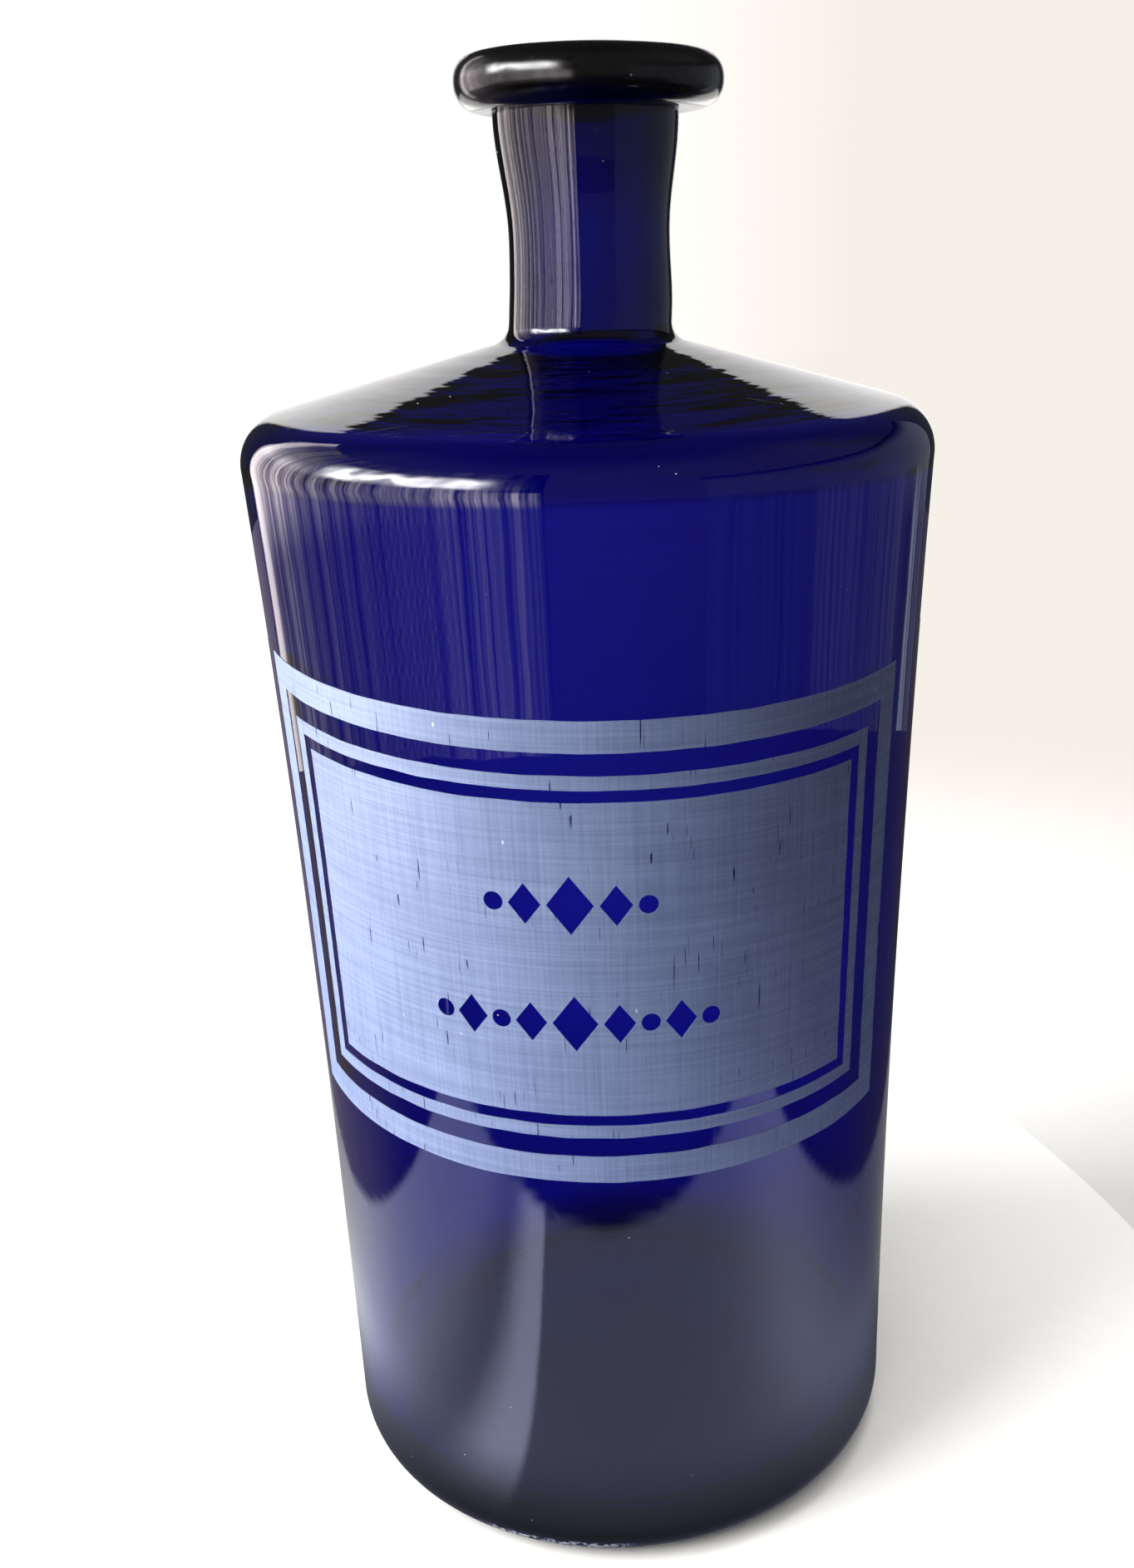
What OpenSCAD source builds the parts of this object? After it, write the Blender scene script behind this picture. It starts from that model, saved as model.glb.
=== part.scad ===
// Blown glass storage bottle with a frosted label. Millimetres, +Z up.
// Origin: centre of the foot, on the surface the bottle stands on. The label faces -Y.
// The vessel is one gather of glass; the lip is a second gather, wrapped round the neck's end.

/* [Body] */
// Radius of the wall just above the heel
foot_r = 66.5; // [62:0.5:69]
// Radius of the wall where it turns into the shoulder
shoulder_r = 71.2; // [69:0.1:78]
// Height of the wall, from the foot to the start of the shoulder's corner
wall_h = 238.5; // [215:0.5:242]
// Radius of the round heel between foot and wall
heel_r = 11; // [6:0.5:14]
// Radius of the round corner between wall and shoulder
corner_r = 10; // [6:0.5:14]
// Thickness of the glass in the wall, and in the shoulder where it leaves the wall
glass_t = 4.5; // [3:0.25:5.5]
// Thickness of the glass in the base
base_t = 9; // [6:0.5:12]
// Height of the push-up under the base
push_up = 9; // [3:0.5:14]

/* [Shoulder and neck] */
// Slope of the shoulder, in degrees from level
shoulder_slope = 15; // [12:0.5:16]
// Outer radius of the neck just above the shoulder
neck_base_r = 16.6; // [15.5:0.1:18]
// Outer radius of the neck at its waist
waist_r = 16.1; // [15:0.1:16.5]
// Outer radius of the neck under the lip
neck_top_r = 18.2; // [17:0.1:20]
// Radius of the bore through the neck
bore_r = 10; // [8:0.25:12]

/* [Lip] */
// Overall height of the bottle, from foot to lip
bottle_h = 313; // [305:1:330]
// Outer radius of the lip
lip_r = 26.2; // [24:0.1:30]
// Thickness of the lip
lip_t = 10.5; // [8:0.5:14]

/* [Label] */
// Height of the label's lower edge above the foot
label_z = 103; // [40:1:115]
// Width of the frosted panel, measured round the wall
panel_w = 119; // [100:1:130]
// Height of the frosted panel
panel_h = 66; // [56:1:72]
// Gap between the panel and the thin line
inner_gap = 2.4; // [1.5:0.1:4]
// Width of the thin line
line_w = 2.8; // [1.5:0.1:4]
// Gap between the thin line and the border
outer_gap = 4.3; // [2:0.1:5]
// Width of the border
border_w = 6.1; // [4:0.1:8]
// Thickness of the frosted skin
skin_t = 0.3; // [0.2:0.05:0.4]

/* [Ornament] */
// Width of the large lozenge in the middle of each row
lozenge_w = 9; // [6:0.5:10]
// Height of the large lozenge
lozenge_h = 12; // [8:0.5:14]
// Size of the small lozenges, as a share of the large one
small_share = 0.7; // [0.5:0.05:0.8]
// Radius of the beads
bead_r = 1.9; // [1:0.1:2.2]
// Distance between the two rows of ornament
row_pitch = 25; // [20:1:30]

/* [Hidden] */
$fn = 160;

glass_blue = [0.07, 0.06, 0.42];
lip_blue = [0.05, 0.05, 0.30];
frost_pale = [0.66, 0.72, 0.86];

arc_steps = 12;         // points along each rounded stretch
wall_steps = 16;        // levels up the wall
wall_bow = 2.5;         // power of the wall's outward sweep
fillet_r = 4;           // fillet between shoulder and neck
shoulder_thicken = 2;   // degrees by which the shoulder grows thicker towards the neck
waist_share = 0.42;     // height of the waist, as a share of the neck
mouth_r = 2;            // rounding inside the mouth
base_ring = 9;          // width of the flat ring the bottle stands on
cut_depth = 1;          // how far label cuts reach past the skin
ornament_gap = 1;       // gap between neighbours in a row of ornament

wall_z0 = heel_r;
lip_z = bottle_h - lip_t;
neck_z = wall_h + corner_r * cos(shoulder_slope)
       + (shoulder_r - corner_r + corner_r * sin(shoulder_slope) - neck_base_r) * tan(shoulder_slope);
ring_r = foot_r - heel_r - base_ring;

// Radius of the wall's outer face at each level, and between levels
wall_levels = [for (i = [0:wall_steps])
    let (z = wall_z0 + (wall_h - wall_z0) * i / wall_steps)
    [z, foot_r + (shoulder_r - foot_r) * pow(z / wall_h, wall_bow)]];
function wall_r(z) = lookup(z, wall_levels);

// Points of an arc about [cx, cz], from angle a0 to a1 in degrees
function arc(cx, cz, r, a0, a1) =
    [for (i = [0:arc_steps]) let (a = a0 + (a1 - a0) * i / arc_steps) [cx + r * cos(a), cz + r * sin(a)]];

// Smooth step from 0 to 1
function ease(s) = (1 - cos(180 * s)) / 2;

// The push-up: a shallow dome of height h inside a ring of radius r, from axis to ring
function dome(r, h, z0) = [for (i = [0:arc_steps]) [r * i / arc_steps, z0 + h * (1 - ease(i / arc_steps))]];

// Outer outline of the neck, from its base to the underside of the lip
neck_start = neck_z + fillet_r * tan((90 - shoulder_slope) / 2);
waist_z = neck_start + (lip_z - neck_start) * waist_share;
neck_line = concat(
    [for (i = [0:arc_steps - 1]) let (s = i / arc_steps)
        [neck_base_r + (waist_r - neck_base_r) * ease(s), neck_start + (waist_z - neck_start) * s]],
    [for (i = [0:arc_steps]) let (s = i / arc_steps)
        [waist_r + (neck_top_r - waist_r) * ease(s), waist_z + (lip_z - waist_z) * s]]);

// Outer outline of the vessel, as a half outline from the axis
outer_line = concat(
    dome(ring_r, push_up, 0),
    arc(foot_r - heel_r, heel_r, heel_r, -90, 0),
    [for (p = wall_levels) [wall_r(p[0]), p[0]]],
    arc(shoulder_r - corner_r, wall_h, corner_r, 0, 90 - shoulder_slope),
    arc(neck_base_r + fillet_r, neck_start, fillet_r, 270 - shoulder_slope, 180),
    neck_line,
    [[neck_top_r, bottle_h], [0, bottle_h]]);

// Hollow of the body, up to where the bore leaves it
in_slope = shoulder_slope - shoulder_thicken;
in_corner_z = wall_h - glass_t * (1 - sin(in_slope)) / cos(in_slope);
in_heel = heel_r;
floor_z = base_t;
base_top = floor_z + in_heel;
in_foot_r = wall_r(base_top) - glass_t;
in_top_r = wall_r(in_corner_z) - glass_t;
in_slope_z = in_corner_z + corner_r * cos(in_slope)
           + (in_top_r - corner_r + corner_r * sin(in_slope) - bore_r) * tan(in_slope);
bore_z = max(neck_start, in_slope_z + glass_t);
in_fillet = (bore_z - in_slope_z) / tan((90 - in_slope) / 2);
hollow_line = concat(
    dome(in_foot_r - in_heel, push_up, floor_z),
    arc(in_foot_r - in_heel, base_top, in_heel, -90, 0),
    [for (p = wall_levels) if (p[0] > base_top && p[0] < in_corner_z) [p[1] - glass_t, p[0]]],
    arc(in_top_r - corner_r, in_corner_z, corner_r, 0, 90 - in_slope),
    arc(bore_r + in_fillet, bore_z, in_fillet, 270 - in_slope, 180),
    [[0, bore_z]]);

// Levels and half widths of the label's fields
line_pad = inner_gap + line_w;
border_in = line_pad + outer_gap;
border_out = border_in + border_w;
panel_z = label_z + border_out;

// A patch of the wall's surface, grown by pad on each side of the panel
module wall_patch(pad, r_in, r_out) {
    z0 = panel_z - pad;
    z1 = panel_z + panel_h + pad;
    levels = concat([z0], [for (p = wall_levels) if (p[0] > z0 && p[0] < z1) p[0]], [z1]);
    last = len(levels) - 1;
    turn = (panel_w + 2 * pad) / wall_r(panel_z + panel_h / 2) * 180 / PI;
    rotate([0, 0, -90 - turn / 2])
        rotate_extrude(angle = turn)
            polygon(concat(
                [for (i = [0:last]) [wall_r(levels[i]) + r_out, levels[i]]],
                [for (i = [last:-1:0]) [wall_r(levels[i]) + r_in, levels[i]]]));
}

// A closed frame on the wall between two pads
module wall_frame(pad_out, pad_in) {
    difference() {
        wall_patch(pad_out, 0, skin_t);
        wall_patch(pad_in, -cut_depth, skin_t + cut_depth);
    }
}

module lozenge(w, h) {
    polygon([[0, -h / 2], [w / 2, 0], [0, h / 2], [-w / 2, 0]]);
}

// A row of ornament: a large lozenge, then pairs of a small lozenge and a bead on each side
module ornament_row(pairs) {
    small_w = lozenge_w * small_share;
    pair_w = small_w + 2 * bead_r + 2 * ornament_gap;
    lozenge(lozenge_w, lozenge_h);
    for (side = [-1, 1], i = [0:pairs - 1]) {
        start = lozenge_w / 2 + ornament_gap + i * pair_w;
        translate([side * (start + small_w / 2), 0]) lozenge(small_w, lozenge_h * small_share);
        translate([side * (start + small_w + ornament_gap + bead_r), 0]) circle(r = bead_r, $fn = 32);
    }
}

module front_cut(z) {
    translate([0, -foot_r / 2, z]) rotate([90, 0, 0]) linear_extrude(height = shoulder_r) children();
}

module vessel() {
    color(glass_blue) difference() {
        rotate_extrude() polygon(outer_line);
        rotate_extrude() polygon(hollow_line);
        translate([0, 0, bore_z - 1]) cylinder(r = bore_r, h = bottle_h - bore_z + 2);
        rotate_extrude()
            polygon(concat(arc(bore_r + mouth_r, bottle_h - mouth_r, mouth_r, 180, 90),
                [[bore_r + mouth_r, bottle_h + 1], [bore_r - 1, bottle_h + 1], [bore_r - 1, bottle_h - mouth_r]]));
    }
}

module lip() {
    edge_r = lip_t / 2;
    color(lip_blue) rotate_extrude()
        polygon(concat([[neck_top_r, lip_z]],
            arc(lip_r - edge_r, lip_z + edge_r, edge_r, -90, 90),
            [[neck_top_r, bottle_h]]));
}

module label_border() {
    color(frost_pale) wall_frame(border_out, border_in);
}

module label_line() {
    color(frost_pale) wall_frame(line_pad, inner_gap);
}

module label_panel() {
    mid_z = panel_z + panel_h / 2;
    color(frost_pale) difference() {
        wall_patch(0, 0, skin_t);
        front_cut(mid_z + row_pitch / 2) ornament_row(1);
        front_cut(mid_z - row_pitch / 2) ornament_row(2);
    }
}

vessel();
lip();
label_border();
label_line();
label_panel();
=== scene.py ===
import math

import bmesh
import bpy
from mathutils import Matrix, Vector, noise
from mathutils.geometry import delaunay_2d_cdt

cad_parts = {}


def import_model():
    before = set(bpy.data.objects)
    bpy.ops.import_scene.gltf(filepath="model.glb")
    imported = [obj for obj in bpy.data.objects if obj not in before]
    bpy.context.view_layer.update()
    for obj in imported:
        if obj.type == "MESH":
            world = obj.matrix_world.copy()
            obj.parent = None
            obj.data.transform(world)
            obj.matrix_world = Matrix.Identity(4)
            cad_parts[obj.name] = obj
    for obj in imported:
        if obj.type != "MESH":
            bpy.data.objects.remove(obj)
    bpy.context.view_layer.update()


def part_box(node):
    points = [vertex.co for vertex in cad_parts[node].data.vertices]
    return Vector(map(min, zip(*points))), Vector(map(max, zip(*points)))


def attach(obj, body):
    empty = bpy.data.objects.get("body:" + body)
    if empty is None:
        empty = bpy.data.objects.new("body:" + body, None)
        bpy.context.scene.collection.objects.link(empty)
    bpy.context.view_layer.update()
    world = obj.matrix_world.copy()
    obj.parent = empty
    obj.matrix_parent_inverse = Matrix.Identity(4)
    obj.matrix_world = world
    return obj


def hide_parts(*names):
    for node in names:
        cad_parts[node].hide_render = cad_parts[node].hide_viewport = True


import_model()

# ---------------------------------------------------------------- sizes, in metres
MM = 0.001
vessel_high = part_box("vessel")[1]
lip_low, lip_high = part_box("lip")
border_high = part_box("label_border")[1]
line_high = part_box("label_line")[1]
panel_low, panel_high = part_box("label_panel")

HEIGHT = vessel_high.z
SHOULDER_R = vessel_high.x
FOOT_R = 66.5 * MM
WALL_TOP = 238.5 * MM
WALL_BOW = 2.5
HEEL_R = 11 * MM
CORNER_R = 10 * MM
SLOPE = math.radians(15)
IN_SLOPE = math.radians(13)
GLASS = 4.5 * MM
FLOOR_Z = 9 * MM
PUSH_UP = 9 * MM
RING_R = 46.5 * MM
FILLET_R = 4 * MM
NECK_BASE_R = 16.6 * MM
WAIST_R = 16.1 * MM
NECK_TOP_R = 18.2 * MM
BORE_R = 10 * MM
MOUTH_R = 2 * MM
WAIST_SHARE = 0.42
LIP_R = lip_high.x
LIP_Z = lip_low.z

LABEL_HALF_W = 59.5 * MM
LABEL_MID_Z = (panel_low.z + panel_high.z) / 2
LABEL_R = FOOT_R + (SHOULDER_R - FOOT_R) * (LABEL_MID_Z / WALL_TOP) ** WALL_BOW
LABEL_TILT = -0.023
LABEL_SMILE = 1.54 * MM
SMILE_SPAN = 60 * MM
LINE_IN = 2.4 * MM
BORDER_IN = 9.5 * MM
ROW_OFFSET = 12.5 * MM
EDGE_WANDER = 0.16 * MM
EDGE_PITCH = 160
SKIN_OUT = 0.12 * MM
SKIN_IN = -0.05 * MM

# The camera's turn from the label's middle, and the hand-made lean of neck and lip
CAMERA_TURN = math.radians(5.6)
NECK_LEAN = 1.4 * MM
LIP_LEAN = 0.8 * MM
LEAN_FROM = 0.247
LEAN_TO = 0.272

# The glass: bending of light, and how strongly the vessel and the thicker lip absorb it
GLASS_IOR = 1.5
GLASS_TINT = (0.0, 0.01, 0.68, 1)
VESSEL_DENSITY = 600.0
LIP_DENSITY = 1500.0

SEGMENTS = 288

# The camera: lens, frame shift, place beside the bottle's axis, and aim
LENS = 36.15
SENSOR_WIDTH = 36
SHIFT_X = -0.052
SHIFT_Y = 0.0567
CAMERA_AWAY = 0.3388
CAMERA_HEIGHT = 0.2788
YAW = math.radians(-1.72)
PITCH = math.radians(21.85)
ROLL = math.radians(1.36)

# What every lamp is turned towards
LAMP_TARGET = Vector((0, 0, 0.14))


# ---------------------------------------------------------------- profiles
def arc(cx, cz, radius, start, end, steps=14):
    """Points of an arc about (cx, cz), between two angles in radians."""
    points = []
    for i in range(steps + 1):
        a = start + (end - start) * i / steps
        points.append((cx + radius * math.cos(a), cz + radius * math.sin(a)))
    return points


def ease(s):
    return (1 - math.cos(math.pi * s)) / 2


def wall_radius(z):
    return FOOT_R + (SHOULDER_R - FOOT_R) * (z / WALL_TOP) ** WALL_BOW


def dome(radius, rise, z0, steps=26):
    """The push-up, from the axis out to the ring."""
    return [(radius * i / steps, z0 + rise * (1 - ease(i / steps))) for i in range(steps + 1)]


def spread(points, gap):
    """The same line with no two points further apart than the gap."""
    line = [points[0]]
    for a, b in zip(points, points[1:]):
        far = math.dist(a, b)
        if far < 1e-7:
            continue
        count = max(1, math.ceil(far / gap))
        line += [(a[0] + (b[0] - a[0]) * k / count, a[1] + (b[1] - a[1]) * k / count)
                 for k in range(1, count + 1)]
    return line


def neck_points(start):
    waist = start + (LIP_Z - start) * WAIST_SHARE
    points = []
    for i in range(20):
        s = i / 20
        points.append((NECK_BASE_R + (WAIST_R - NECK_BASE_R) * ease(s), start + (waist - start) * s))
    for i in range(21):
        s = i / 20
        points.append((WAIST_R + (NECK_TOP_R - WAIST_R) * ease(s), waist + (LIP_Z - waist) * s))
    return points


def vessel_profile():
    """Outside from the axis up to the mouth, then down the bore and the inside to the axis."""
    run = SHOULDER_R - CORNER_R + CORNER_R * math.sin(SLOPE)
    neck_z = WALL_TOP + CORNER_R * math.cos(SLOPE) + (run - NECK_BASE_R) * math.tan(SLOPE)
    neck_start = neck_z + FILLET_R * math.tan((math.pi / 2 - SLOPE) / 2)
    wall = [HEEL_R + (WALL_TOP - HEEL_R) * i / 90 for i in range(91)]
    down = 1.5 * math.pi - SLOPE
    outer = dome(RING_R, PUSH_UP, 0)
    outer += arc(FOOT_R - HEEL_R, HEEL_R, HEEL_R, -math.pi / 2, 0)[:-1]
    outer += [(wall_radius(z), z) for z in wall]
    outer += arc(SHOULDER_R - CORNER_R, WALL_TOP, CORNER_R, 0, math.pi / 2 - SLOPE, 24)[1:]
    outer += arc(NECK_BASE_R + FILLET_R, neck_start, FILLET_R, down, math.pi)
    outer += neck_points(neck_start)[1:]
    outer += arc(NECK_TOP_R - 1 * MM, HEIGHT - 1 * MM, 1 * MM, 0, math.pi / 2, 6)
    in_corner_z = WALL_TOP - GLASS * (1 - math.sin(IN_SLOPE)) / math.cos(IN_SLOPE)
    in_top = wall_radius(in_corner_z) - GLASS
    in_run = in_top - CORNER_R + CORNER_R * math.sin(IN_SLOPE)
    in_slope_z = in_corner_z + CORNER_R * math.cos(IN_SLOPE) + (in_run - BORE_R) * math.tan(IN_SLOPE)
    bore_z = neck_start
    in_fillet = (bore_z - in_slope_z) / math.tan((math.pi / 2 - IN_SLOPE) / 2)
    base_top = FLOOR_Z + HEEL_R
    in_foot = wall_radius(base_top) - GLASS
    inner = dome(in_foot - HEEL_R, PUSH_UP, FLOOR_Z)
    inner += arc(in_foot - HEEL_R, base_top, HEEL_R, -math.pi / 2, 0)[1:]
    inner += [(wall_radius(z) - GLASS, z) for z in wall if base_top < z < in_corner_z]
    inner += arc(in_top - CORNER_R, in_corner_z, CORNER_R, 0, math.pi / 2 - IN_SLOPE, 20)
    inner += arc(BORE_R + in_fillet, bore_z, in_fillet, 1.5 * math.pi - IN_SLOPE, math.pi, 24)
    inner += arc(BORE_R + MOUTH_R, HEIGHT - MOUTH_R, MOUTH_R, math.pi, math.pi / 2, 8)
    return spread(outer, 2.4 * MM) + spread(inner[::-1], 3 * MM)


def lip_profile():
    """Closed section of the tooled lip: fuller outside, a little flat on top."""
    half = (HEIGHT - LIP_Z) / 2
    mid = LIP_Z + half
    inside = NECK_TOP_R - 0.35 * MM
    core = 2.6 * MM
    reach = LIP_R - inside
    points = []
    for i in range(57):
        a = -math.pi / 2 + math.pi * i / 56
        c, s = math.cos(a), math.sin(a)
        r = inside + core + (reach - core) * abs(c) ** 0.84
        z = mid + half * math.copysign(abs(s) ** 0.92, s)
        points.append((r, z - 0.5 * MM * max(0.0, s) * (1 - abs(c))))
    return [(inside, LIP_Z + 0.4 * MM)] + points + [(inside, HEIGHT - 0.7 * MM)]


# ---------------------------------------------------------------- the hand of the glassblower
def smooth(low, high, x):
    t = min(1.0, max(0.0, (x - low) / (high - low)))
    return t * t * (3 - 2 * t)


def warp(point):
    """Moves a point as blown glass strays from a true turned shape."""
    x, y, z = point
    r = math.hypot(x, y)
    if r < 1e-6:
        return Vector(point)
    a = math.atan2(y, x)
    c, s = math.cos(a), math.sin(a)
    broad = noise.noise(Vector((c * 1.3, s * 1.3, z * 9)))
    ribs = noise.noise(Vector((c * 5.5, s * 5.5, z * 5 + 7)))
    fine = noise.noise(Vector((c * 13, s * 13, z * 55 + 3)))
    share = min(1.0, r / 0.03) * smooth(0.0, 0.02, z)
    push = (0.22 * broad + 0.07 * ribs + 0.018 * fine) * MM * share
    lean = NECK_LEAN * smooth(LEAN_FROM, LEAN_TO, z)
    k = (r + push) / r
    return Vector((x * k + lean * math.cos(CAMERA_TURN), y * k + lean * math.sin(CAMERA_TURN), z))


def lip_warp(point):
    x, y, z = point
    a = math.atan2(y, x)
    r = math.hypot(x, y)
    outward = smooth(NECK_TOP_R, LIP_R, r)
    wave = noise.noise(Vector((math.cos(a) * 1.6, math.sin(a) * 1.6, 5)))
    tool = noise.noise(Vector((math.cos(a) * 4.5, math.sin(a) * 4.5, z * 90)))
    k = (r + (0.35 * wave + 0.1 * tool) * MM * outward) / r
    lean = NECK_LEAN + LIP_LEAN * outward
    drop = (0.25 * noise.noise(Vector((math.cos(a), math.sin(a), 9))) - 0.1) * MM * outward
    return Vector((x * k + lean * math.cos(CAMERA_TURN), y * k + lean * math.sin(CAMERA_TURN), z + drop))


# ---------------------------------------------------------------- mesh building
def add_object(name, bm):
    """A smooth-shaded object from a closed bmesh."""
    bmesh.ops.recalc_face_normals(bm, faces=bm.faces)
    mesh = bpy.data.meshes.new(name)
    bm.to_mesh(mesh)
    bm.free()
    mesh.polygons.foreach_set("use_smooth", [True] * len(mesh.polygons))
    mesh.set_sharp_from_angle(angle=math.radians(50))
    piece = bpy.data.objects.new(name, mesh)
    bpy.context.scene.collection.objects.link(piece)
    return piece


def turned(name, profile, bend, closed):
    """Turns a profile round +Z. A profile that isn't closed starts and ends on the axis."""
    bm = bmesh.new()
    rings = []
    for r, z in profile:
        if r < 1e-6:
            rings.append([bm.verts.new(bend((0, 0, z)))])
            continue
        ring = []
        for i in range(SEGMENTS):
            a = 2 * math.pi * i / SEGMENTS
            ring.append(bm.verts.new(bend((r * math.cos(a), r * math.sin(a), z))))
        rings.append(ring)
    pairs = list(zip(rings, rings[1:]))
    if closed:
        pairs.append((rings[-1], rings[0]))
    for low, high in pairs:
        for i in range(SEGMENTS):
            j = (i + 1) % SEGMENTS
            if len(low) == 1:
                bm.faces.new((low[0], high[i], high[j]))
            elif len(high) == 1:
                bm.faces.new((low[i], high[0], low[j]))
            else:
                bm.faces.new((low[i], high[i], high[j], low[j]))
    return add_object(name, bm)


def rectangle(half_w, z0, z1, gap, seed):
    """A hand-cut rectangle in (distance round the wall, height), with slightly uneven edges."""
    corners = [(-half_w, z0), (half_w, z0), (half_w, z1), (-half_w, z1), (-half_w, z0)]
    loop = spread(corners, gap)[:-1]
    out = []
    for s, z in loop:
        ds = noise.noise(Vector((s * EDGE_PITCH, z * EDGE_PITCH, seed))) * EDGE_WANDER
        dz = noise.noise(Vector((s * EDGE_PITCH, z * EDGE_PITCH, seed + 40))) * EDGE_WANDER
        out.append((s + ds, z + dz))
    return out


def lozenge(cs, cz, w, h):
    corners = [(cs, cz - h / 2), (cs + w / 2, cz), (cs, cz + h / 2), (cs - w / 2, cz), (cs, cz - h / 2)]
    return spread(corners, 1.4 * MM)[:-1]


def bead(cs, cz, radius):
    steps = 28
    turns = [2 * math.pi * i / steps for i in range(steps)]
    return [(cs + radius * math.cos(a), cz + radius * math.sin(a)) for a in turns]


def ornament_row(cz, pairs):
    """A large lozenge, then pairs of a small lozenge and a bead on each side."""
    wide, tall, share, radius, gap = 9 * MM, 12 * MM, 0.7, 1.9 * MM, 1 * MM
    small = wide * share
    shapes = [lozenge(0, cz, wide, tall)]
    for side in (-1, 1):
        for i in range(pairs):
            start = wide / 2 + gap + i * (small + 2 * radius + 2 * gap)
            shapes.append(lozenge(side * (start + small / 2), cz, small, tall * share))
            shapes.append(bead(side * (start + small + gap + radius), cz, radius))
    return shapes


def inside_loop(p, loop):
    hit = False
    for (ax, ay), (bx, by) in zip(loop, loop[1:] + loop[:1]):
        if (ay > p[1]) != (by > p[1]) and p[0] < (bx - ax) * (p[1] - ay) / (by - ay) + ax:
            hit = not hit
    return hit


def on_wall(s, z, proud):
    """A point of the label's sheet laid on the vessel's own outer surface."""
    turn = s / LABEL_R
    level = z + LABEL_TILT * SHOULDER_R * math.sin(turn) + LABEL_SMILE * (s / SMILE_SPAN) ** 2
    r = wall_radius(level)
    base = warp((r * math.sin(turn), -r * math.cos(turn), level))
    return base + Vector((math.sin(turn), -math.cos(turn), 0)) * proud


def label_sheet(name, outer, holes):
    """A thin closed sheet on the wall, with holes cut through."""
    loops = [outer] + holes
    points, edges = [], []
    for loop in loops:
        first = len(points)
        points += [Vector(p) for p in loop]
        edges += [(first + i, first + (i + 1) % len(loop)) for i in range(len(loop))]
    step = 2.6 * MM
    clear = 0.9 * MM
    low = (min(p[0] for p in outer), min(p[1] for p in outer))
    high = (max(p[0] for p in outer), max(p[1] for p in outer))
    border = points[:]
    for i in range(1, int((high[0] - low[0]) / step) + 1):
        for j in range(1, int((high[1] - low[1]) / step) + 1):
            p = Vector((low[0] + i * step, low[1] + j * step))
            if not inside_loop(p, outer) or any(inside_loop(p, h) for h in holes):
                continue
            if min((p - q).length_squared for q in border) > clear ** 2:
                points.append(p)
    flat, _, tris, _, _, _ = delaunay_2d_cdt(points, edges, [], 0, 1e-7)
    kept = []
    for tri in tris:
        mid = sum((flat[k] for k in tri), Vector((0, 0))) / len(tri)
        if inside_loop(mid, outer) and not any(inside_loop(mid, h) for h in holes):
            kept.append(tri)
    bm = bmesh.new()
    used = sorted({k for tri in kept for k in tri})
    face_side = {k: bm.verts.new(on_wall(flat[k].x, flat[k].y, SKIN_OUT)) for k in used}
    glass_side = {k: bm.verts.new(on_wall(flat[k].x, flat[k].y, SKIN_IN)) for k in used}
    uv = bm.loops.layers.uv.new("sheet")
    count = {}
    made = []
    for tri in kept:
        made.append((bm.faces.new([face_side[k] for k in tri]), tri))
        made.append((bm.faces.new([glass_side[k] for k in reversed(tri)]), tuple(reversed(tri))))
        for a, b in zip(tri, tri[1:] + tri[:1]):
            count.setdefault(frozenset((a, b)), []).append((a, b))
    for runs in count.values():
        if len(runs) == 1:
            a, b = runs[0]
            rim = bm.faces.new((face_side[b], face_side[a], glass_side[a], glass_side[b]))
            made.append((rim, (b, a, a, b)))
    for face, keys in made:
        for corner, k in zip(face.loops, keys):
            corner[uv].uv = (flat[k].x, flat[k].y)
    return add_object(name, bm)


# ---------------------------------------------------------------- material helpers
class Graph:
    """A short way to write a material's nodes."""

    def __init__(self, name):
        self.material = bpy.data.materials.new(name)
        self.material.use_nodes = True
        self.tree = self.material.node_tree
        self.tree.nodes.clear()
        self.out = self.tree.nodes.new("ShaderNodeOutputMaterial")

    def node(self, kind, inputs=None, **props):
        made = self.tree.nodes.new("ShaderNode" + kind)
        for key, value in props.items():
            setattr(made, key, value)
        for key, value in (inputs or {}).items():
            self.set(made.inputs[key], value)
        return made

    def set(self, socket, value):
        if isinstance(value, bpy.types.NodeSocket):
            self.tree.links.new(value, socket)
        else:
            socket.default_value = value

    def math(self, operation, a, b=0.0, clamp=False):
        made = self.node("Math", {0: a, 1: b}, operation=operation, use_clamp=clamp)
        return made.outputs[0]

    def noise(self, where, scale, detail=2.0, rough=0.5):
        made = self.node("TexNoise", {"Vector": where, "Scale": scale, "Detail": detail, "Roughness": rough})
        return made.outputs["Fac"]

    def stretch(self, where, scale, turn=0.0):
        made = self.node("Mapping", {"Vector": where, "Scale": scale, "Rotation": (0, 0, turn)})
        return made.outputs[0]

    def ramp(self, value, low, high, to_low=0.0, to_high=1.0):
        made = self.node("MapRange", {0: value, 1: low, 2: high, 3: to_low, 4: to_high},
                         interpolation_type="SMOOTHSTEP")
        return made.outputs[0]

    def mix(self, share, a, b):
        made = self.node("Mix", data_type="RGBA")
        self.set(made.inputs[0], share)
        self.set(made.inputs[6], a)
        self.set(made.inputs[7], b)
        return made.outputs[2]

    def specks(self, where, scale, size, share):
        """Round specks: cells of a random pattern whose own number is above a share."""
        cell = self.node("TexVoronoi", {"Vector": where, "Scale": scale})
        near = self.ramp(cell.outputs["Distance"], size * 0.6, size, 1.0, 0.0)
        split = self.node("SeparateColor", {0: cell.outputs["Color"]})
        chosen = self.math("GREATER_THAN", split.outputs[0], share)
        return self.math("MULTIPLY", near, chosen)


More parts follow.
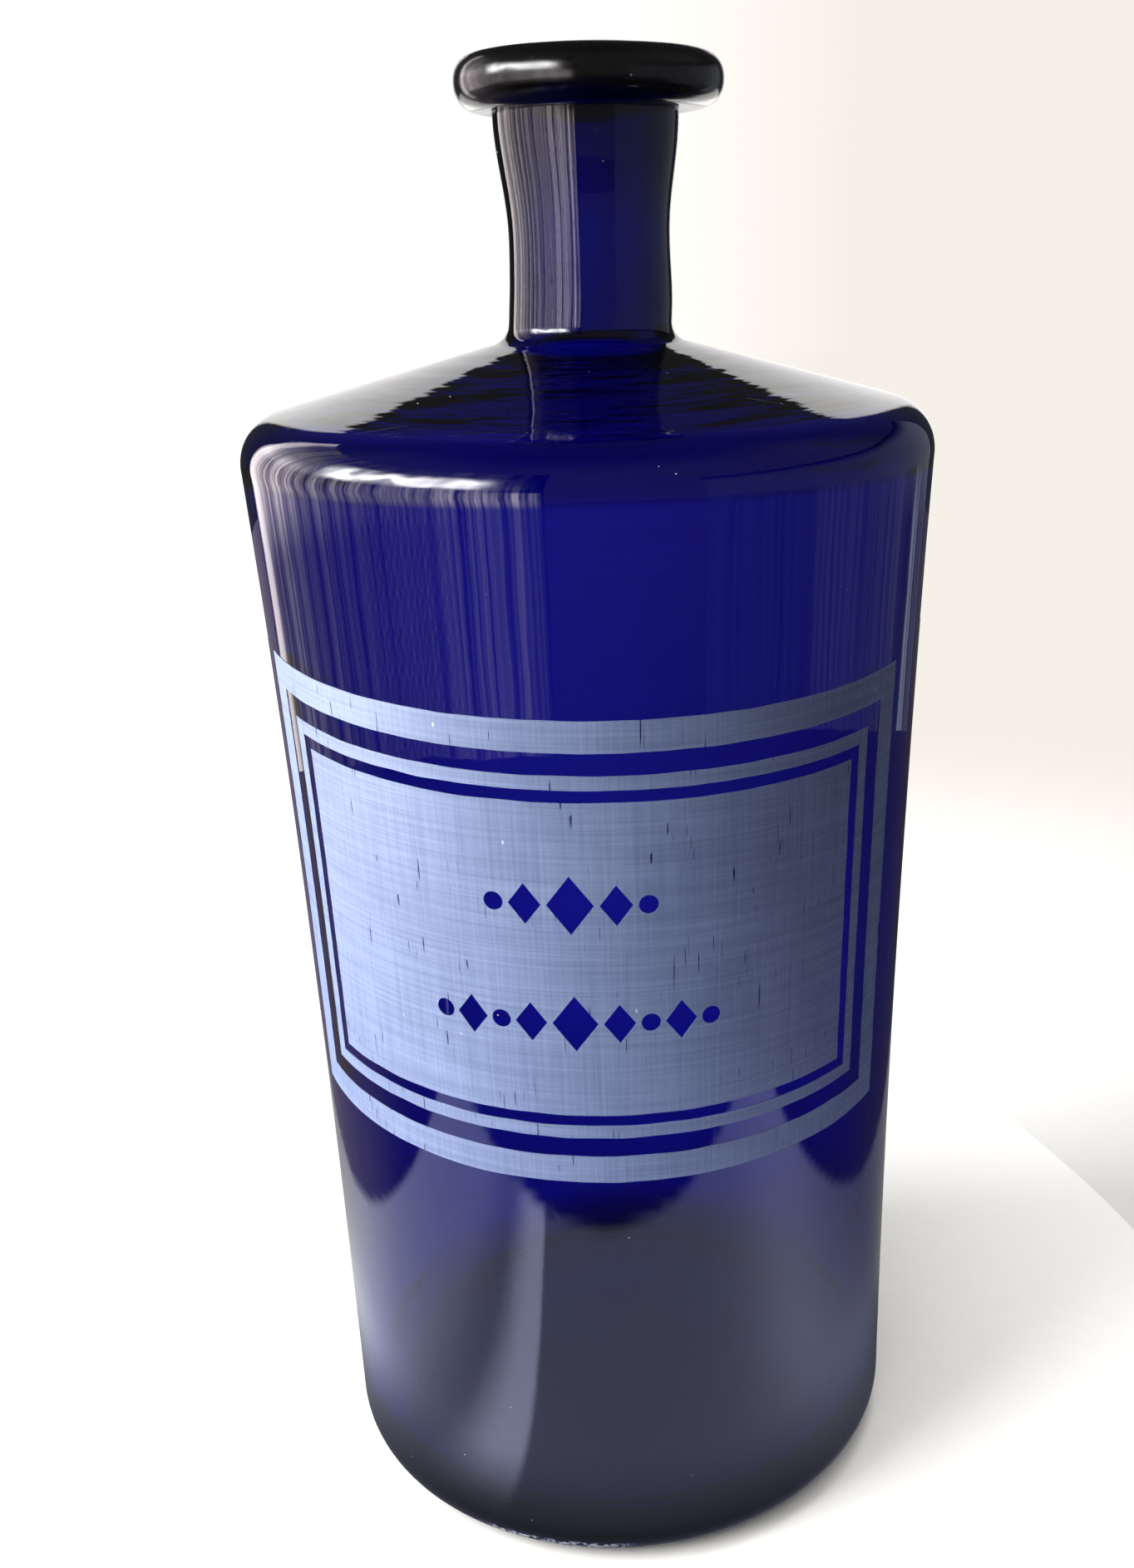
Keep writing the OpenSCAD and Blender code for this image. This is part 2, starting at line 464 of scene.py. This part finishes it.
def cobalt_glass(name, tooled, density):
    """Thick cobalt-blue glass, with ripples, smudges, seeds, scratches and a worn foot."""
    g = Graph(name)
    where = g.node("TexCoord").outputs["Object"]
    axes = g.node("SeparateXYZ", {0: where})
    x = axes.outputs[0]
    y = axes.outputs[1]
    z = axes.outputs[2]
    specks = g.specks(where, 330, 0.055, 0.90)
    smudge = g.ramp(g.noise(where, 38, 4, 0.6), 0.50, 0.78)
    out_r = g.node("VectorMath", {0: g.stretch(where, (1, 1, 0))}, operation="LENGTH").outputs["Value"]
    wear_band = g.math("MULTIPLY", g.ramp(z, 0.0006, 0.0028, 1.0, 0.0), g.ramp(out_r, 0.044, 0.048))
    wear = g.math("MULTIPLY", wear_band, g.ramp(g.noise(where, 900, 3, 0.7), 0.42, 0.62))
    front = g.math("MULTIPLY", g.ramp(y, -0.056, -0.050, 1.0, 0.0), g.ramp(z, 0.0060, 0.0074, 1.0, 0.0))
    span = g.math("MULTIPLY", g.ramp(x, -0.030, -0.022), g.ramp(x, 0.002, 0.010, 1.0, 0.0))
    front = g.math("MULTIPLY", front, span)
    residue = g.math("MULTIPLY", front, g.ramp(g.noise(where, 520, 4, 0.65), 0.46, 0.54))
    dirt = g.math("MAXIMUM", g.math("MAXIMUM", specks, residue), g.math("MULTIPLY", wear, 0.25), True)
    rough = g.math("ADD", g.math("MULTIPLY", smudge, 0.07 if tooled else 0.022), 0.15 if tooled else 0.006)
    rough = g.math("ADD", rough, g.math("MULTIPLY", wear, 0.3))
    rough = g.math("ADD", rough, g.math("MULTIPLY", dirt, 0.5), True)
    shoulder = g.ramp(z, 0.236, 0.246)
    ripple = g.math("MULTIPLY", g.noise(g.stretch(where, (1, 1, 0.35)), 75, 3, 0.5), 0.030)
    rings = g.node("CombineXYZ", {0: out_r, 1: g.math("MULTIPLY", x, 0.22), 2: g.math("MULTIPLY", y, 0.22)})
    crimp = g.math("MULTIPLY", g.noise(rings.outputs[0], 210, 2, 0.5), 0.13)
    ripple = g.math("ADD", ripple, g.math("MULTIPLY", crimp, shoulder))
    chatter = g.math("MULTIPLY", g.noise(g.stretch(where, (1, 1, 3.2 if tooled else 0.12)), 320, 2), 0.006)
    scratch = g.noise(g.stretch(where, (40, 2600, 60), 0.6), 1, 1)
    scratch = g.math("MULTIPLY", g.ramp(scratch, 0.72, 0.76), -0.003)
    raised = g.math("ADD", g.math("ADD", ripple, chatter), scratch)
    raised = g.math("ADD", raised, g.math("MULTIPLY", specks, 0.03))
    bump = g.node("Bump", {"Strength": 1.0, "Distance": MM, "Height": raised})
    deep = g.ramp(z, 0.038, 0.142, 1.0, 0.0)
    clear = g.mix(deep, (1, 1, 1, 1), (0.42, 0.43, 0.80, 1))
    colour = g.mix(dirt, clear, (0.72, 0.71, 0.68, 1))
    shader = g.node("BsdfPrincipled", {"Base Color": colour, "Roughness": rough,
                                       "Normal": bump.outputs[0],
                                       "Transmission Weight": g.math("SUBTRACT", 1.0, dirt)})
    shader.inputs["IOR"].default_value = GLASS_IOR
    tint = g.node("VolumeAbsorption")
    tint.inputs["Color"].default_value = GLASS_TINT
    tint.inputs["Density"].default_value = density
    g.set(g.out.inputs["Surface"], shader.outputs[0])
    g.set(g.out.inputs["Volume"], tint.outputs[0])
    return g.material


def frosted(name):
    """Ground glass: a pale satin with a linen-like cross hatch, scuffs and specks."""
    g = Graph(name)
    flat = g.node("UVMap", uv_map="sheet").outputs[0]
    level = g.noise(g.stretch(flat, (22, 1500, 1)), 1, 3, 0.6)
    upright = g.noise(g.stretch(flat, (1700, 26, 1)), 1, 3, 0.6)
    slant = g.noise(g.stretch(flat, (30, 700, 1), 0.09), 1, 2, 0.5)
    hatch = g.math("ADD", g.math("MULTIPLY", level, 0.40), g.math("MULTIPLY", upright, 0.38))
    hatch = g.math("ADD", hatch, g.math("MULTIPLY", slant, 0.22))
    cloud = g.noise(flat, 45, 4, 0.6)
    grain = g.noise(flat, 4200, 2, 0.6)
    blend = g.math("ADD", g.math("MULTIPLY", hatch, 0.82), g.math("MULTIPLY", cloud, 0.18))
    tone = g.ramp(blend, 0.36, 0.64)
    colour = g.mix(tone, (0.147, 0.191, 0.340, 1), (0.236, 0.304, 0.492, 1))
    nick = g.noise(g.stretch(flat, (1900, 80, 1), 0.10), 1, 1)
    place = g.ramp(g.noise(flat, 58, 2), 0.51, 0.58)
    nick = g.math("MULTIPLY", g.ramp(nick, 0.69, 0.715), place)
    cross = g.noise(g.stretch(flat, (1000, 120, 1), -0.75), 1, 1)
    cross = g.math("MULTIPLY", g.ramp(cross, 0.70, 0.73), g.ramp(g.noise(flat, 34, 2), 0.55, 0.60))
    worn = g.math("MAXIMUM", nick, cross, True)
    colour = g.mix(worn, colour, (0.020, 0.022, 0.110, 1))
    white = g.specks(g.stretch(flat, (1, 0.45, 1)), 420, 0.10, 0.965)
    colour = g.mix(white, colour, (0.60, 0.66, 0.80, 1))
    rough = g.math("SUBTRACT", g.math("ADD", 0.40, g.math("MULTIPLY", hatch, 0.22)),
                   g.math("MULTIPLY", worn, 0.25))
    raised = g.math("ADD", g.math("MULTIPLY", hatch, 0.020), g.math("MULTIPLY", grain, 0.006))
    raised = g.math("SUBTRACT", raised, g.math("MULTIPLY", worn, 0.03))
    bump = g.node("Bump", {"Strength": 1.0, "Distance": MM, "Height": raised})
    shader = g.node("BsdfPrincipled", {"Base Color": colour, "Roughness": rough, "Normal": bump.outputs[0]})
    shader.inputs["IOR"].default_value = GLASS_IOR
    g.set(g.out.inputs["Surface"], shader.outputs[0])
    return g.material


# ---------------------------------------------------------------- the pieces
def finish_piece(piece, material, slot, *nodes):
    piece.data.materials.append(material)
    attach(piece, "root")
    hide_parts(*nodes)


def build_bottle():
    glass = cobalt_glass("cobalt_glass", False, VESSEL_DENSITY)
    lip_material = cobalt_glass("cobalt_lip_glass", True, LIP_DENSITY)
    frost = frosted("frosted_glass")
    finish_piece(turned("vessel_glass", vessel_profile(), warp, False), glass, "blue_glass", "vessel")
    lip_piece = turned("lip_glass", lip_profile(), lip_warp, True)
    finish_piece(lip_piece, lip_material, "lip_glass", "lip")

    line_out = line_high.z - panel_high.z
    border_out = border_high.z - panel_high.z
    low, high, half = panel_low.z, panel_high.z, LABEL_HALF_W

    def frame_loop(pad, seed):
        return rectangle(half + pad, low - pad, high + pad, 1.9 * MM, seed)

    border = label_sheet("label_border_frost", frame_loop(border_out, 1), [frame_loop(BORDER_IN, 2)])
    line = label_sheet("label_line_frost", frame_loop(line_out, 3), [frame_loop(LINE_IN, 4)])
    rows = ornament_row(LABEL_MID_Z + ROW_OFFSET, 1) + ornament_row(LABEL_MID_Z - ROW_OFFSET, 2)
    panel = label_sheet("label_panel_frost", frame_loop(0, 5), rows)
    finish_piece(border, frost, "frosted_label", "label_border")
    finish_piece(line, frost, "frosted_label", "label_line")
    finish_piece(panel, frost, "frosted_label", "label_panel")
    return lip_piece, (border, line, panel)


# ---------------------------------------------------------------- stage, light and camera
def around(angle, distance, z):
    """A point at an angle in degrees from the camera's side, positive to the camera's right."""
    a = math.radians(angle) + CAMERA_TURN
    return Vector((distance * math.sin(a), -distance * math.cos(a), z))


def glow_material(name, from_above=False):
    """A material that glows by the card's own colours, on both sides or only as seen from above."""
    g = Graph(name)
    tone = g.node("Attribute", attribute_name="glow").outputs["Color"]
    light = g.node("Emission", {"Color": tone, "Strength": 1.0})
    if from_above:
        g.set(light.inputs["Strength"], g.node("NewGeometry").outputs["Backfacing"])
    g.set(g.out.inputs["Surface"], light.outputs[0])
    g.material.cycles.emission_sampling = "NONE"
    return g.material


def card(name, place, tone, across, up, material):
    """A reflector that only glossy rays meet. Its glow varies from point to point."""
    mesh = bpy.data.meshes.new(name)
    points, tones = [], []
    for j in range(up + 1):
        for i in range(across + 1):
            u, v = i / across, j / up
            points.append(place(u, v))
            tones += [*tone(u, v), 1.0]
    wide = across + 1
    faces = [(j * wide + i, j * wide + i + 1, (j + 1) * wide + i + 1, (j + 1) * wide + i)
             for j in range(up) for i in range(across)]
    mesh.from_pydata(points, [], faces)
    mesh.color_attributes.new("glow", "FLOAT_COLOR", "POINT").data.foreach_set("color", tones)
    mesh.materials.append(material)
    made = bpy.data.objects.new(name, mesh)
    bpy.context.scene.collection.objects.link(made)
    made.visible_camera = False
    made.visible_diffuse = False
    made.visible_transmission = False
    made.visible_shadow = False
    return made


def scaled(colour, strength):
    return tuple(c * strength for c in colour)


def window_card(material):
    """A tall window with bars and slats, low and dim below, bright sky above."""
    start, end, distance, top = -136.0, -14.0, 0.56, 0.72

    def place(u, v):
        return around(start + (end - start) * u, distance, top * v)

    def tone(u, v):
        angle, z = start + (end - start) * u, top * v
        bars = 0.55 + 0.9 * noise.noise(Vector((angle * 0.30, 0, 1)))
        bars += 0.75 * noise.noise(Vector((angle * 1.15, z * 1.2, 4)))
        bars += 0.35 * noise.noise(Vector((angle * 3.1, z * 6, 8)))
        pane = 1.0 if -47 < angle < -20 or -118 < angle < -104 else 0.55
        lattice = math.sin(z * 520) * math.sin(angle * 2.6)
        slats = 1.0 + 0.55 * lattice * smooth(-80, -70, angle) * smooth(-38, -50, angle)
        edge = smooth(start, start + 3, angle) * smooth(end, end - 2.5, angle)
        rise = 1.0 + 5.0 * smooth(0.105, 0.16, z) * smooth(0.50, 0.38, z)
        rim = 2.3 * smooth(-136, -133, angle) * smooth(-126, -129, angle)
        fade = 1 - smooth(0.30, 0.34, z) * smooth(-46, -14, angle)
        low = scaled((0.96, 0.86, 0.88), 1.05 * (max(0.06, bars) * pane * slats * rise + rim) * edge * fade)
        sky = smooth(0.345, 0.43, z) * smooth(0.61, 0.47, z)
        sky *= smooth(-96, -82, angle) * smooth(-26, -38, angle)
        sky *= 0.25 + 1.4 * max(0.0, 0.4 + noise.noise(Vector((angle * 0.16, z * 9, 21))))
        haze = smooth(0.335, 0.40, z) * 0.9 * edge * smooth(0.66, 0.46, z) * smooth(-14, -44, angle)
        return tuple(a + 24.0 * sky + haze for a in low)

    card("window_reflection", place, tone, 420, 160, material)


def back_card(material):
    """The bright wall behind the bottle, which ends above in shade."""
    start, end, distance, top = 157.0, 203.0, 0.9, 0.66

    def place(u, v):
        return around(start + (end - start) * u, distance, top * v)

    def tone(u, v):
        angle, z = start + (end - start) * u, top * v
        level = smooth(top, top * 0.97, z) * smooth(start, start + 3, angle) * smooth(end, end - 3, angle)
        return scaled((1.0, 0.985, 0.97), 1.25 * level)

    card("backdrop_reflection", place, tone, 90, 60, material)


def side_card(material):
    """Faint upright shapes of the room on the right."""
    start, end, distance, top = 34.0, 142.0, 0.6, 0.5
    bands = ((34, 72, 0.16), (72, 92, 0.34), (92, 118, 0.24),
             (118, 127, 0.10), (127, 133, 0.75), (133, 142, 0.2))

    def place(u, v):
        return around(start + (end - start) * u, distance, top * v)

    def tone(u, v):
        angle, z = start + (end - start) * u, top * v
        level = sum(t * smooth(a - 0.7, a + 0.7, angle) * smooth(b + 0.7, b - 0.7, angle)
                    for a, b, t in bands)
        level *= 0.75 + 0.6 * noise.noise(Vector((angle * 0.8, z * 2, 15)))
        level += (0.28 - level) * smooth(0.11, 0.16, z)
        return scaled((0.8, 0.84, 1.0), max(0.0, level) * smooth(top, top * 0.8, z))

    card("side_reflection", place, tone, 260, 30, material)


def room_card(material):
    """The dim room all round, darker above and behind."""
    def place(u, v):
        rise = math.radians(-4 + 93 * v)
        return around(-180 + 360 * u, 1.1 * math.cos(rise), 0.12 + 1.1 * math.sin(rise))

    def tone(u, v):
        angle, rise = abs(-180 + 360 * u), -4 + 93 * v
        level = 0.04 + 0.11 * smooth(128, 96, angle) * smooth(75, 45, rise)
        return scaled((1.0, 0.99, 1.02), level)

    card("room_reflection", place, tone, 72, 30, material)


def table_edge(angle):
    """Where the lit table ends, from the bottle's axis: four round shadows with points between."""
    far = 0.330
    lobes = ((-3, 54, 0.190), (-106, 49, 0.163), (102, 52, 0.165), (180, 25, 0.190))
    for middle, half, near in lobes:
        t = ((angle - middle + 180) % 360 - 180) / half
        if abs(t) < 1:
            return near + (far - near) * (1 - math.sqrt(1 - t * t))
    return far


def table_card(material):
    """The lit table all round, with shadows across it. It lights matt surfaces too."""
    start, end = -180.0, 180.0
    inner, outer = FOOT_R - 10 * MM, 1.6

    def place(u, v):
        return around(start + (end - start) * u, inner + (outer - inner) * v ** 2.6, 0.6 * MM)

    def tone(u, v):
        angle, r = start + (end - start) * u, inner + (outer - inner) * v ** 2.6
        side, ahead = r * math.sin(math.radians(angle)), -r * math.cos(math.radians(angle))
        edge = table_edge(angle)
        lit = smooth(edge + 0.004, edge - 0.004, r)
        shadow = side - (-0.040 + 0.335 * (ahead + 0.07))
        streak = smooth(0.0035, -0.0015, shadow) * smooth(-0.042, -0.010, shadow) * smooth(0.074, 0.100, r)
        cloud = math.exp(-((angle - 57) / 17) ** 2) * smooth(0.085, 0.13, r)
        level = 1.0 + 2.6 * streak + 0.5 * smooth(-0.045, -0.085, shadow) + 0.45 * cloud
        level *= 1 - 0.85 * smooth(0.104, 0.064, r)
        level *= 1 - 0.70 * smooth(-88, -138, angle) * smooth(-176, -166, angle)
        level *= 1 - 0.78 * smooth(50, 106, angle) * smooth(176, 166, angle)
        shade = 0.05 + 0.20 * smooth(-70, -100, angle) * smooth(-165, -150, angle)
        shade += 0.045 * smooth(0.50, 0.85, r)
        cool = smooth(125, 70, abs(angle))
        lit_tone = (0.98 - 0.10 * cool, 0.99 - 0.06 * cool, 1.02 + 0.28 * cool)
        return tuple(a * level * lit + b * shade * (1 - lit) for a, b in zip(lit_tone, (0.9, 0.75, 1.0)))

    made = card("table_reflection", place, tone, 480, 170, material)
    made.visible_diffuse = True


# The backdrop and the far floor glow turn from a bright white on the left to a dimmer warm white on the
# right, painted shade, by the sideways share of a direction
SHADE_FROM, SHADE_TO = -0.18, 0.06
LIT_COOL_WHITE = (1.2, 1.19, 1.17, 1)
SHADED_WARM_WHITE = (0.92, 0.875, 0.805, 1)


def floor():
    """A plain pale floor. Lit near the bottle, and glowing evenly further out and on the left, save for
    painted shade that dims the glow to a warm white towards the right.
    """
    bm = bmesh.new()
    bmesh.ops.create_circle(bm, cap_ends=True, segments=96, radius=4)
    mesh = bpy.data.meshes.new("floor")
    bm.to_mesh(mesh)
    bm.free()
    made = bpy.data.objects.new("floor", mesh)
    bpy.context.scene.collection.objects.link(made)
    g = Graph("pale_floor")
    where = g.node("TexCoord").outputs["Object"]
    far = g.node("VectorMath", {0: where}, operation="LENGTH").outputs["Value"]
    grain = g.noise(where, 160, 3)
    colour = g.mix(grain, (0.78, 0.775, 0.765, 1), (0.82, 0.815, 0.805, 1))
    matt = g.node("BsdfDiffuse", {"Color": colour})
    sideways = g.node("SeparateXYZ", {0: where}).outputs[0]
    across = g.math("DIVIDE", sideways, far)
    share = g.node("MapRange", {0: across, 1: SHADE_FROM, 2: SHADE_TO}).outputs[0]
    # Painted shade: the floor's glow dims to a warm white towards the right.
    tone = g.mix(share, LIT_COOL_WHITE, SHADED_WARM_WHITE)
    bright = g.node("Emission", {"Color": tone, "Strength": 1.0})
    left = g.ramp(sideways, -0.16, -0.05, 1.0, 0.0)
    even = g.math("MAXIMUM", g.ramp(far, 0.20, 0.62), left)
    blend = g.node("MixShader", {0: even, 1: matt.outputs[0], 2: bright.outputs[0]})
    g.set(g.out.inputs["Surface"], blend.outputs[0])
    g.material.cycles.emission_sampling = "NONE"
    mesh.materials.append(g.material)
    return made


def lamp(name, angle, elevation, distance, size, watts, colour):
    data = bpy.data.lights.new(name, "AREA")
    data.shape = "SQUARE"
    data.size = size
    data.energy = watts
    data.color = colour
    made = bpy.data.objects.new(name, data)
    bpy.context.scene.collection.objects.link(made)
    e = math.radians(elevation)
    made.location = LAMP_TARGET + around(angle, distance * math.cos(e), distance * math.sin(e))
    made.rotation_mode = "QUATERNION"
    made.rotation_quaternion = (LAMP_TARGET - made.location).to_track_quat("-Z", "Y")
    made.visible_glossy = False
    made.visible_transmission = False
    made.visible_camera = False
    return made


def linked_lamp(name, receivers, sheen, angle, elevation, distance, size, watts):
    """A lamp that only the receivers meet: in their sheen alone, or in their plain colour alone."""
    made = lamp(name, angle, elevation, distance, size, watts, (1.0, 0.99, 0.97))
    made.visible_glossy = sheen
    made.visible_diffuse = not sheen
    group = bpy.data.collections.new(name + "_receivers")
    for receiver in receivers:
        group.objects.link(receiver)
    made.light_linking.receiver_collection = group


def world():
    made = bpy.data.worlds.new("pale_room")
    made.use_nodes = True
    tree = made.node_tree
    where = tree.nodes.new("ShaderNodeTexCoord").outputs["Generated"]
    split = tree.nodes.new("ShaderNodeSeparateXYZ")
    tree.links.new(where, split.inputs[0])
    # Painted shade: the backdrop dims to a warm white towards the right.
    spread_out = tree.nodes.new("ShaderNodeMapRange")
    spread_out.inputs["From Min"].default_value = SHADE_FROM
    spread_out.inputs["From Max"].default_value = SHADE_TO
    tree.links.new(split.outputs[0], spread_out.inputs[0])
    ramp = tree.nodes.new("ShaderNodeValToRGB")
    tree.links.new(spread_out.outputs[0], ramp.inputs[0])
    ramp.color_ramp.elements[0].position = 0.0
    ramp.color_ramp.elements[0].color = LIT_COOL_WHITE
    ramp.color_ramp.elements[1].position = 1.0
    ramp.color_ramp.elements[1].color = SHADED_WARM_WHITE
    tree.links.new(ramp.outputs[0], tree.nodes["Background"].inputs["Color"])
    made.cycles_visibility.glossy = False
    made.cycles_visibility.diffuse = False
    bpy.context.scene.world = made


def camera():
    data = bpy.data.cameras.new("camera")
    made = bpy.data.objects.new("camera", data)
    bpy.context.scene.collection.objects.link(made)
    data.lens = LENS
    data.sensor_width = SENSOR_WIDTH
    data.shift_x = SHIFT_X
    data.shift_y = SHIFT_Y
    data.clip_start = 0.01
    data.clip_end = 20
    heading = Matrix.Rotation(YAW + CAMERA_TURN, 3, "Z")
    right = heading @ Vector((1, 0, 0))
    ahead = heading @ Vector((0, math.cos(PITCH), -math.sin(PITCH)))
    down = heading @ Vector((0, -math.sin(PITCH), -math.cos(PITCH)))
    side = math.cos(ROLL) * right + math.sin(ROLL) * down
    up = math.sin(ROLL) * right - math.cos(ROLL) * down
    basis = Matrix((side, up, -ahead)).transposed().to_4x4()
    made.matrix_world = Matrix.Translation(around(0, CAMERA_AWAY, CAMERA_HEIGHT)) @ basis
    bpy.context.scene.camera = made


def build_stage(lip_piece, frosted_pieces):
    glow = glow_material("reflection_glow")
    window_card(glow)
    back_card(glow)
    side_card(glow)
    room_card(glow)
    table_card(glow_material("table_glow", True))
    ground = floor()
    world()
    lamp("window_light", -68, 26, 0.95, 0.85, 23, (1.0, 0.985, 0.97))
    lamp("overhead_light", 180, 87, 0.85, 0.5, 6.5, (1.0, 0.99, 0.98))
    linked_lamp("sheen_light", frosted_pieces, True, -84, 16, 0.8, 0.5, 35)
    linked_lamp("lip_light_left", [lip_piece], True, -156, -3, 0.5, 0.24, 0.25)
    linked_lamp("lip_light_right", [lip_piece], True, 156, -3, 0.5, 0.24, 0.25)
    linked_lamp("floor_light_left", [ground], False, -68, 34, 0.95, 0.7, 20)
    linked_lamp("floor_light_above", [ground], False, 10, 62, 1.1, 1.2, 22)
    camera()


def look():
    scene = bpy.context.scene
    scene.view_settings.view_transform = "Standard"
    scene.view_settings.look = "None"
    scene.cycles.max_bounces = 20
    scene.cycles.transmission_bounces = 20
    scene.cycles.glossy_bounces = 8
    scene.cycles.diffuse_bounces = 3
    scene.cycles.caustics_reflective = False
    scene.cycles.caustics_refractive = False
    scene.cycles.sample_clamp_indirect = 8


build_stage(*build_bottle())
look()
